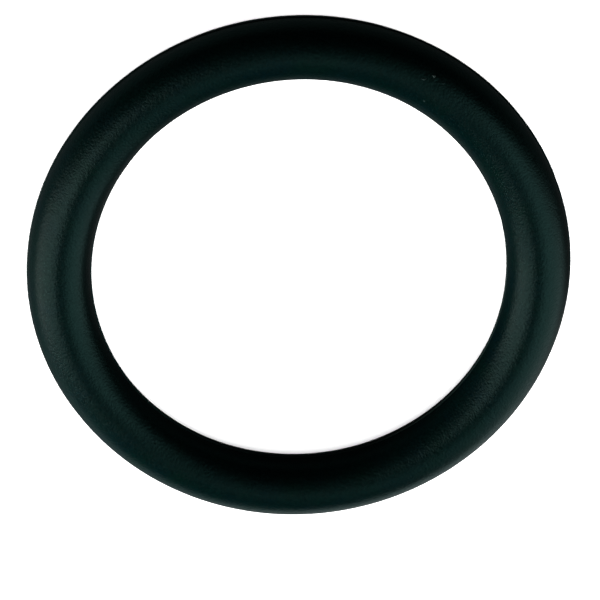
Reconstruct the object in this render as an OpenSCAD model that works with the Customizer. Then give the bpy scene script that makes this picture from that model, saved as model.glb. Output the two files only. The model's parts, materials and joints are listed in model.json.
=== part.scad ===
// A moulded rubber o-ring: a round section swept round a circle, lying flat. The mould parts on the
// ring's middle plane, and trimming leaves a low ridge of flash there, inside and outside the ring.
// The origin is the ring's centre on that plane, and +Z is the ring's axis. Millimetres.

/* [Ring] */
// Inside diameter of the free ring, measured between the round sections
inner_d = 23.39; // [6:0.01:120]
// Diameter of the round section
section_d = 3.53; // [1.78:0.01:8]

/* [Parting line] */
// How far the trimmed flash stands out of the round section
flash_h = 0.06; // [0.03:0.01:0.14]
// Width of the flat land that trimming leaves on the flash, along the ring's axis
flash_land_w = 0.14; // [0.04:0.01:0.3]
// Angle at which each flank of the flash widens from the land down to the section
flash_draft = 35; // [15:1:45]

/* [Hidden] */
rubber_colour = [0.05, 0.1, 0.09];
section_r = section_d / 2;
// Radius of the circle that the middle of the section follows
mean_r = inner_d / 2 + section_r;
// How deep the flanks of the flash run on below the round surface, to grow out of solid rubber
flash_root = 2 * flash_h;
section_fn = 96;
ring_fn = 240;

// One ridge of flash, on the +X side of the section
module flash_profile() {
    land_x = section_r + flash_h;
    root_x = section_r - flash_root;
    land_half = flash_land_w / 2;
    root_half = land_half + (land_x - root_x) * tan(flash_draft);
    polygon([
        [root_x, -root_half],
        [land_x, -land_half],
        [land_x, land_half],
        [root_x, root_half],
    ]);
}

// The moulded section: round, with a ridge towards the ring's inside and one towards its outside
module section_profile() {
    circle(r = section_r, $fn = section_fn);
    for (turn = [0, 180])
        rotate(turn) flash_profile();
}

module o_ring() {
    color(rubber_colour)
        rotate_extrude($fn = ring_fn)
            translate([mean_r, 0])
                section_profile();
}

o_ring();
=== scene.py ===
import json
import math
import random

import bpy
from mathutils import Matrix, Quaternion, Vector, noise
from mathutils.bvhtree import BVHTree


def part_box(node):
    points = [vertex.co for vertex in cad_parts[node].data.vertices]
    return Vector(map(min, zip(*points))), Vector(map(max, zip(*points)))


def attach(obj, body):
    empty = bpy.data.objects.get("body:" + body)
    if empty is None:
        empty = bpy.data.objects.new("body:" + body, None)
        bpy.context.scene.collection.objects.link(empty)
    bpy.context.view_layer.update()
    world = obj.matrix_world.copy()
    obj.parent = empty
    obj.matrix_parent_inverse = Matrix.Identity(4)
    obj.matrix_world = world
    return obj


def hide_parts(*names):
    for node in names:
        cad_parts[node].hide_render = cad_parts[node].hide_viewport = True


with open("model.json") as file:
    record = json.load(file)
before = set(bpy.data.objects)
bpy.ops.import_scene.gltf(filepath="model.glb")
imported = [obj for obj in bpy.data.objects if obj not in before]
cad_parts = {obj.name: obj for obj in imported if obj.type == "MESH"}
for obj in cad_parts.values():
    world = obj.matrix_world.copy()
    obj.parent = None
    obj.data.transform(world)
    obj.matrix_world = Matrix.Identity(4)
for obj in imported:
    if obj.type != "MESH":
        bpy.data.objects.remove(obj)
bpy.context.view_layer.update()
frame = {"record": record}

# Sizes of the ring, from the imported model. Its two mounts are the trimmed lands of the flash.
MM = 0.001
mounts = {mount["name"]: mount for mount in frame["record"]["mounts"]}
low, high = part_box("o_ring")
floor_z = low.z
inner_land_r = mounts["inner_seal_line"]["dims"]["r_mm"] * MM
outer_land_r = high.x
land_w = mounts["outer_seal_line"]["dims"]["length_mm"] * MM
mean_r = (inner_land_r + outer_land_r) / 2
section_r = (high.z - low.z) / 2
flash_h = outer_land_r - mean_r - section_r
flash_draft = math.radians(35)

# The photograph's frame, and where the ring lies in it
FRAME_PX = 600
RING_CENTRE_PX = (299.6, 272.4)
MEAN_R_PX = 239.9
METRES_PER_PX = mean_r / MEAN_R_PX


def ripple(point, size, seed):
    """Smooth noise from 0 to 1, about size metres from crest to crest."""
    return 0.5 + 0.5 * noise.noise(point / size + Vector((seed, 0, 0)))


def linked(name, data):
    """A new object in the scene."""
    item = bpy.data.objects.new(name, data)
    bpy.context.scene.collection.objects.link(item)
    return item


def shaped(name, verts, faces):
    """A new smooth mesh object in the scene."""
    mesh = bpy.data.meshes.new(name)
    mesh.from_pydata(verts, [], faces)
    mesh.shade_smooth()
    return linked(name, mesh)


def point_values(item, name, values):
    """Gives each vertex of a mesh object a number that its material reads."""
    item.data.attributes.new(name, "FLOAT", "POINT").data.foreach_set("value", values)


def hide_from(item, *rays):
    """Hides an object or a light from the named kinds of ray."""
    for kind in rays:
        setattr(item, "visible_" + kind, False)


# The ring

RING_TURNS = 720
SIDE_STEPS = 52
LAND_STEPS = 2
SHARP_ANGLE = math.radians(28)

# Waves in the moulded surface: how far apart their crests are, and their depth
SURFACE_WAVES = [(2.6 * MM, 0.004 * MM), (0.55 * MM, 0.0012 * MM)]
SURFACE_SEED = 3

# What the trimming leaves of the flash's height: a level, waves (size, seed, share) and nicks
TRIM_LEVEL = 0.72
TRIM_LEAST = 0.35
TRIM_WAVES = [(3.5 * MM, 11, 0.2), (0.45 * MM, 31, 0.08)]
NICK_SIZE = 1.3 * MM
NICK_SEED = 57
NICK_START = 0.74
NICK_DEPTH = 2.2


def section_points():
    """The moulded section, point by point: how far out, how high, and 1 on the flash or else 0."""
    foot_z = land_w / 2 + flash_h * math.tan(flash_draft)
    foot = math.asin(foot_z / section_r)
    points = []
    for side in (1, -1):
        for k in range(LAND_STEPS + 1):
            z = land_w * (k / LAND_STEPS - 0.5)
            points.append((side * (section_r + flash_h), side * z, 1.0))
        for k in range(SIDE_STEPS + 1):
            a = foot + (math.pi - 2 * foot) * k / SIDE_STEPS
            points.append((side * section_r * math.cos(a), side * section_r * math.sin(a), 0.0))
    return points


def trimmed(turn, side):
    """How much of the flash's height the trimming has left at a turn of the ring, from 0 to 1."""
    where = Vector((math.cos(turn), math.sin(turn), 0)) * mean_r
    waves = sum(share * ripple(where, size, seed + side) for size, seed, share in TRIM_WAVES)
    nick = max(0.0, ripple(where, NICK_SIZE, NICK_SEED + side) - NICK_START) * NICK_DEPTH
    return max(TRIM_LEAST, TRIM_LEVEL + waves - nick)


def moulded_ring():
    """The ring as one closed mesh. Its surface waves a few thousandths of a millimetre, inwards only."""
    outline = section_points()
    count = len(outline)
    verts, faces, on_flash = [], [], []
    for i in range(RING_TURNS):
        turn = math.tau * i / RING_TURNS
        out = Vector((math.cos(turn), math.sin(turn), 0))
        kept = {side: trimmed(turn, side) for side in (1, -1)}
        for x, z, flash in outline:
            side = 1 if x > 0 else -1
            if flash:
                x -= side * flash_h * (1 - kept[side])
            offset = Vector((0, 0, z)) + out * x
            point = out * mean_r + offset
            depth = sum(ripple(point, size, SURFACE_SEED) * height for size, height in SURFACE_WAVES)
            verts.append(point - offset.normalized() * depth)
            on_flash.append(flash)
    for i in range(RING_TURNS):
        a, b = i * count, (i + 1) % RING_TURNS * count
        for j in range(count):
            k = (j + 1) % count
            faces.append((a + j, b + j, b + k, a + k))
    ring = shaped("moulded_ring", verts, faces)
    ring.data.set_sharp_from_angle(angle=SHARP_ANGLE)
    point_values(ring, "flash", on_flash)
    return ring, BVHTree.FromPolygons(verts, faces)


# The flecks in the rubber: each one's pixel in the photograph, length, width and paleness

FLECKS = [
    ((434.2, 76.3), 0.21 * MM, 0.15 * MM, 0.6),
    ((424.0, 79.2), 0.32 * MM, 0.12 * MM, 0.14),
    ((424.2, 101.0), 0.14 * MM, 0.15 * MM, 0.11),
    ((443.5, 83.5), 0.22 * MM, 0.09 * MM, 0.08),
]

# A fleck's form: rows of points (reach, height) from its foot to its top, and its uneven rim
FLECK_SIDES = 14
FLECK_ROWS = [(1.0, -0.012 * MM), (0.8, 0.008 * MM), (0.45, 0.018 * MM)]
FLECK_LOBES = 3
FLECK_LOBE_REACH = 0.2
FLECK_JITTER = 0.12
FLECK_SEED = 7


def pale_flecks(camera, surface):
    """Low crusts in the rubber's surface, where the camera's rays through their pixels meet it."""
    rng = random.Random(FLECK_SEED)
    turn = camera.rotation_euler.to_matrix()
    right, up = turn.col[0], turn.col[1]
    verts, faces, pale = [], [], []
    for (x, y), length, width, paleness in FLECKS:
        aim = (right * (x - RING_CENTRE_PX[0]) - up * (y - RING_CENTRE_PX[1])) * METRES_PER_PX
        hit, normal, _, _ = surface.ray_cast(camera.location, aim - camera.location)
        along = (right - normal * right.dot(normal)).normalized()
        across = normal.cross(along)
        start = len(verts)
        for reach, height in FLECK_ROWS:
            for k in range(FLECK_SIDES):
                a = math.tau * k / FLECK_SIDES
                lobe = FLECK_LOBE_REACH * math.sin(FLECK_LOBES * a)
                wobble = 1 + lobe + rng.uniform(-FLECK_JITTER, FLECK_JITTER)
                u = math.cos(a) * length / 2 * reach * wobble
                v = math.sin(a) * width / 2 * reach * wobble
                verts.append(hit + along * u + across * v + normal * height)
                pale.append(paleness)
        for row in range(len(FLECK_ROWS) - 1):
            for k in range(FLECK_SIDES):
                n = (k + 1) % FLECK_SIDES
                a, b = start + row * FLECK_SIDES, start + (row + 1) * FLECK_SIDES
                faces.append((a + k, a + n, b + n, b + k))
        faces.append([len(verts) - FLECK_SIDES + k for k in range(FLECK_SIDES)])
        faces.append([start + k for k in reversed(range(FLECK_SIDES))])
    flecks = shaped("pale_flecks", verts, faces)
    point_values(flecks, "pale", pale)
    return flecks


# Materials

class Nodes:
    """Short ways to add and link the nodes of one material."""

    def __init__(self, name):
        self.material = bpy.data.materials.new(name)
        self.material.use_nodes = True
        self.tree = self.material.node_tree
        self.shader = self.tree.nodes["Principled BSDF"]
        self.place = self.tree.nodes.new("ShaderNodeTexCoord").outputs["Object"]

    def set(self, values):
        """Sets the shader's own sockets, by name."""
        for name, value in values.items():
            self.shader.inputs[name].default_value = value

    def add(self, kind, **values):
        """Adds a node and sets its properties."""
        node = self.tree.nodes.new(kind)
        for name, value in values.items():
            setattr(node, name, value)
        return node

    def link(self, source, target):
        self.tree.links.new(source, target)

    def point_value(self, name):
        """The number that point_values gave each vertex."""
        return self.add("ShaderNodeAttribute", attribute_name=name).outputs["Fac"]

    def noise(self, size, detail):
        """Noise with crests about size metres apart."""
        node = self.add("ShaderNodeTexNoise")
        node.inputs["Scale"].default_value = 1 / size
        node.inputs["Detail"].default_value = detail
        self.link(self.place, node.inputs["Vector"])
        return node.outputs["Fac"]

    def spread(self, value, low, high, start=0.3, stop=0.7):
        """Maps value from the range start to stop onto low to high."""
        node = self.add("ShaderNodeMapRange")
        self.link(value, node.inputs["Value"])
        for name, number in (("From Min", start), ("From Max", stop), ("To Min", low), ("To Max", high)):
            node.inputs[name].default_value = number
        return node.outputs["Result"]

    def mix(self, factor, first, second):
        """Mixes two colours, each a colour or a socket."""
        node = self.add("ShaderNodeMix", data_type="RGBA")
        self.link(factor, node.inputs["Factor"])
        for name, value in (("A", first), ("B", second)):
            socket = next(s for s in node.inputs if s.name == name and s.type == "RGBA")
            if isinstance(value, bpy.types.NodeSocket):
                self.link(value, socket)
            else:
                socket.default_value = (*value, 1)
        return next(s for s in node.outputs if s.type == "RGBA")

    def sum(self, first, second):
        """Adds two numbers."""
        node = self.add("ShaderNodeMath", operation="ADD")
        self.link(first, node.inputs[0])
        self.link(second, node.inputs[1])
        return node.outputs[0]

    def bump(self, height, distance, before=None):
        """The surface's normal with a relief distance metres deep, on top of another one."""
        node = self.add("ShaderNodeBump")
        node.inputs["Distance"].default_value = distance
        self.link(height, node.inputs["Height"])
        if before:
            self.link(before, node.inputs["Normal"])
        return node.outputs["Normal"]


# Colours of the rubber: two clouds, a faint bloom on them, the pits of the grain and the cut flash
CLOUD_BLUE, CLOUD_GREEN = (0.0001, 0.0054, 0.0074), (0.0002, 0.0076, 0.0054)
BLOOM, BLOOM_MOST = (0.0012, 0.0072, 0.0070), 0.5
PITS = (0.0001, 0.0030, 0.0028)
CUT_RUBBER = (0.008, 0.013, 0.012)
GLOSS_TINT = (0.38, 1, 0.91, 1)

# How far apart the crests of its noises are, and the heights of its relief
CLOUD_SIZE = 1.5 * MM
BLOOM_SIZE = 0.7 * MM
PIT_SIZE = 0.13 * MM
SHEEN_SIZE = 2.1 * MM
GRAIN_SIZE, GRAIN_H = 0.12 * MM, 0.018 * MM
PEBBLE_SIZE, PEBBLE_H = 0.36 * MM, 0.008 * MM

# Its roughness, how much the grain changes it, and how much rougher the cut is
SATIN_LOW, SATIN_HIGH = 0.34, 0.37
GRAIN_ROUGHNESS = 0.07
CUT_ROUGHNESS = 0.2


def black_rubber():
    """Near-black rubber, faintly green and blue, satin as moulded and dull where the flash was cut."""
    n = Nodes("black_rubber")
    flash = n.point_value("flash")
    cloudy = n.mix(n.spread(n.noise(CLOUD_SIZE, 3), 0, 1), CLOUD_BLUE, CLOUD_GREEN)
    bloomed = n.mix(n.spread(n.noise(BLOOM_SIZE, 3), 0, BLOOM_MOST, start=0.5, stop=0.75), cloudy, BLOOM)
    grained = n.mix(n.spread(n.noise(PIT_SIZE, 3), 0, 1), bloomed, PITS)
    n.link(n.mix(flash, grained, CUT_RUBBER), n.shader.inputs["Base Color"])
    sheen = n.spread(n.noise(SHEEN_SIZE, 3), SATIN_LOW, SATIN_HIGH)
    satin = n.sum(sheen, n.spread(n.noise(GRAIN_SIZE, 1), -GRAIN_ROUGHNESS, GRAIN_ROUGHNESS))
    cut = n.spread(flash, 0, CUT_ROUGHNESS, start=0, stop=1)
    n.link(n.sum(satin, cut), n.shader.inputs["Roughness"])
    pebbled = n.bump(n.noise(PEBBLE_SIZE, 2), PEBBLE_H)
    n.link(n.bump(n.noise(GRAIN_SIZE, 1), GRAIN_H, pebbled), n.shader.inputs["Normal"])
    n.set({"Specular Tint": GLOSS_TINT, "IOR": 1.5})
    return n.material


CRUST_FAINT = (0.001, 0.010, 0.010)
CRUST_DARK, CRUST_PALE = (0.08, 0.13, 0.122), (0.19, 0.28, 0.27)
CRUST_SIZE = 0.05 * MM


def pale_crust():
    """A dull crust on the rubber, speckled, and as pale as each fleck says."""
    n = Nodes("pale_crust")
    speckled = n.mix(n.spread(n.noise(CRUST_SIZE, 2), 0, 1), CRUST_DARK, CRUST_PALE)
    n.link(n.mix(n.point_value("pale"), CRUST_FAINT, speckled), n.shader.inputs["Base Color"])
    n.set({"Specular Tint": GLOSS_TINT, "Roughness": 0.8})
    return n.material


# The stage

FLOOR_R = 0.45
BEND_R = 0.2
WALL_TOP = 0.9
BEND_STEPS = 12
STAGE_TURNS = 96
FLOOR_GREY = (0.8, 0.8, 0.8, 1)
FLOOR_GLOW = 0.22


def studio_floor():
    """A pale floor that curves up into a round wall. It isn't seen in the ring's gloss."""
    rows = [(FLOOR_R, 0)]
    for k in range(1, BEND_STEPS + 1):
        a = math.pi / 2 * k / BEND_STEPS
        rows.append((FLOOR_R + BEND_R * math.sin(a), BEND_R * (1 - math.cos(a))))
    rows.append((FLOOR_R + BEND_R, WALL_TOP))
    verts, faces = [(0, 0, floor_z)], []
    for r, z in rows:
        for i in range(STAGE_TURNS):
            a = math.tau * i / STAGE_TURNS
            verts.append((r * math.cos(a), r * math.sin(a), floor_z + z))
    for i in range(STAGE_TURNS):
        j = (i + 1) % STAGE_TURNS
        faces.append((0, 1 + i, 1 + j))
        for k in range(len(rows) - 1):
            a, b = 1 + k * STAGE_TURNS, 1 + (k + 1) * STAGE_TURNS
            faces.append((a + i, b + i, b + j, a + j))
    floor = shaped("studio_floor", verts, faces)
    n = Nodes("pale_floor")
    n.set({"Base Color": FLOOR_GREY, "Roughness": 0.9, "Specular IOR Level": 0})
    n.set({"Emission Color": (1, 1, 1, 1), "Emission Strength": FLOOR_GLOW})
    floor.data.materials.append(n.material)
    hide_from(floor, "glossy", "diffuse")
    return floor


CARD_HALF = 0.25
CARD_LIFT = 0.05 * MM
CARD_COLOUR = (0.9, 1, 1, 1)

# The card's painted brightness in the ring's hole, before the ring and behind it: painted shade in the
# hole and before the ring, painted light behind it. Its left is towards -X.
HOLE_NEAR, HOLE_FAR = 0.115, 0.012
NEAR_LEFT, NEAR_RIGHT = 0.045, 0.09
FAR_LEFT, FAR_RIGHT = 0.68, 0.33

# Where it changes: outwards at the hole's edge, along Y in the hole and beyond the ring, and along X
HOLE_EDGE = (0.9 * mean_r, mean_r)
HOLE_DEPTH = (-0.4 * mean_r, 0.4 * mean_r)
CARD_DEPTH = (0.3 * mean_r, 1.7 * mean_r)
CARD_WIDTH = (-mean_r, mean_r)


def painted_reflection_card():
    """A glowing card on the floor, seen only in the ring's gloss: a painted reflection of the floor,
    with painted light behind the ring and painted shade before it and inside its hole.
    """
    z = floor_z + CARD_LIFT
    h = CARD_HALF
    card = shaped("painted_reflection_card", [(-h, -h, z), (h, -h, z), (h, h, z), (-h, h, z)], [(0, 1, 2, 3)])
    n = Nodes("painted_floor_reflection")
    axes = n.add("ShaderNodeSeparateXYZ")
    n.link(n.place, axes.inputs[0])
    radius = n.add("ShaderNodeVectorMath", operation="LENGTH")
    n.link(n.place, radius.inputs[0])
    outside = n.spread(radius.outputs["Value"], 0, 1, *HOLE_EDGE)
    in_hole = n.spread(axes.outputs["Y"], HOLE_NEAR, HOLE_FAR, *HOLE_DEPTH)
    near = n.spread(axes.outputs["X"], NEAR_LEFT, NEAR_RIGHT, *CARD_WIDTH)
    far = n.spread(axes.outputs["X"], FAR_LEFT, FAR_RIGHT, *CARD_WIDTH)
    beyond = n.mix(n.spread(axes.outputs["Y"], 0, 1, *CARD_DEPTH), near, far)
    # The glow is a painted reflection of the floor: painted shade in the hole and before the ring,
    # painted light behind it.
    n.link(n.mix(outside, in_hole, beyond), n.shader.inputs["Emission Strength"])
    n.set({"Base Color": (0, 0, 0, 1), "Specular IOR Level": 0, "Emission Color": CARD_COLOUR})
    card.data.materials.append(n.material)
    hide_from(card, "camera", "diffuse", "shadow", "transmission")


LIGHT_DISTANCE = 0.157
OVERHEAD_DISTANCE = 0.5


def area_light(
    name, azimuth, elevation, half_width, half_height, radiance, distance=LIGHT_DISTANCE, roll=0.0
):
    """A soft light that faces the ring. Azimuth 0 is before the ring, towards -Y, and 90 is towards +X.

    Its half sizes are the tangents of the angles that it fills.
    """
    width, height = 2 * half_width * distance, 2 * half_height * distance
    light = bpy.data.lights.new(name, "AREA")
    light.shape = "RECTANGLE"
    light.size, light.size_y = width, height
    light.energy = radiance * math.pi * width * height
    panel = linked(name, light)
    a, e = math.radians(azimuth), math.radians(elevation)
    away = Vector((math.sin(a) * math.cos(e), -math.cos(a) * math.cos(e), math.sin(e)))
    panel.location = away * distance
    panel.rotation_mode = "QUATERNION"
    panel.rotation_quaternion = away.to_track_quat("Z", "Y") @ Quaternion((0, 0, 1), roll)
    hide_from(panel, "camera")
    return panel


def light_only(light, *items):
    """Lets a light fall on the named objects alone."""
    lit = bpy.data.collections.new("lit_by_" + light.name)
    for item in items:
        lit.objects.link(item)
    light.light_linking.receiver_collection = lit


def softbox(name, rubber, azimuth, bottom, top, half_width, radiance, red, roll, feather=0.0, sheets=1):
    """A tall light for the rubber alone, between two elevations in degrees.

    Its sheets, one inside another, feather its sides and its top.
    """
    for k in range(sheets):
        grow = feather * (k - (sheets - 1) / 2)
        sheet_top = top + math.degrees(grow) / 2
        elevation = (bottom + sheet_top) / 2
        half_height = math.tan(math.radians(sheet_top - bottom) / 2)
        sheet = area_light(
            f"{name}_{k}", azimuth, elevation, half_width + grow, half_height,
            radiance=radiance / sheets, roll=roll,
        )
        sheet.data.color = (red, 1, 1)
        light_only(sheet, *rubber)


def lights(floor, *rubber):
    """Two softboxes and a fill for the rubber, and a panel above for the floor, in a dark room."""
    softbox(
        "softbox_right", rubber, azimuth=104.6, bottom=-8, top=69,
        half_width=0.34, radiance=0.94, red=1.5, roll=-0.17,
    )
    softbox(
        "softbox_left", rubber, azimuth=-126.3, bottom=0, top=66,
        half_width=0.46, radiance=0.73, red=0.95, roll=-0.08, feather=0.17, sheets=3,
    )
    rear = area_light(
        "rear_fill", azimuth=126, elevation=17,
        half_width=0.3, half_height=0.28, radiance=21,
    )
    hide_from(rear, "glossy")
    light_only(rear, *rubber)
    overhead = area_light(
        "overhead_panel", azimuth=0, elevation=90,
        half_width=0.9, half_height=0.9, radiance=7.0, distance=OVERHEAD_DISTANCE,
    )
    light_only(overhead, floor)
    world = bpy.data.worlds.new("dark_room")
    world.use_nodes = True
    world.node_tree.nodes["Background"].inputs["Color"].default_value = (0, 0, 0, 1)
    bpy.context.scene.world = world


LENS_MM, SENSOR_MM = 200, 36
CLIP_NEAR, CLIP_FAR = 0.01, 5
VIEW_ELEVATION, PICTURE_ROLL = 64.8, 7.1


def photo_camera():
    """The photograph's camera, held upside down: the lying ring's near side is at the picture's top."""
    data = bpy.data.cameras.new("camera")
    data.lens, data.sensor_width = LENS_MM, SENSOR_MM
    data.clip_start, data.clip_end = CLIP_NEAR, CLIP_FAR
    camera = linked("camera", data)
    camera.rotation_mode = "ZXY"
    camera.rotation_euler = (math.radians(90 - VIEW_ELEVATION), 0, math.radians(180 - PICTURE_ROLL))
    turn = camera.rotation_euler.to_matrix()
    right, up, back = turn.col[0], turn.col[1], turn.col[2]
    distance = METRES_PER_PX * FRAME_PX * LENS_MM / SENSOR_MM
    aside = right * (FRAME_PX / 2 - RING_CENTRE_PX[0]) + up * (RING_CENTRE_PX[1] - FRAME_PX / 2)
    camera.location = aside * METRES_PER_PX + back * distance
    bpy.context.scene.camera = camera
    return camera


camera = photo_camera()
ring, surface = moulded_ring()
ring.data.materials.append(black_rubber())
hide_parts("o_ring")
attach(ring, "root")

flecks = pale_flecks(camera, surface)
flecks.data.materials.append(pale_crust())
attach(flecks, "root")

lights(studio_floor(), ring, flecks)
# A glowing card that puts a painted reflection of the floor, with the ring's painted shade on it, into
# the ring's gloss.
painted_reflection_card()
bpy.context.scene.view_settings.view_transform = "Standard"
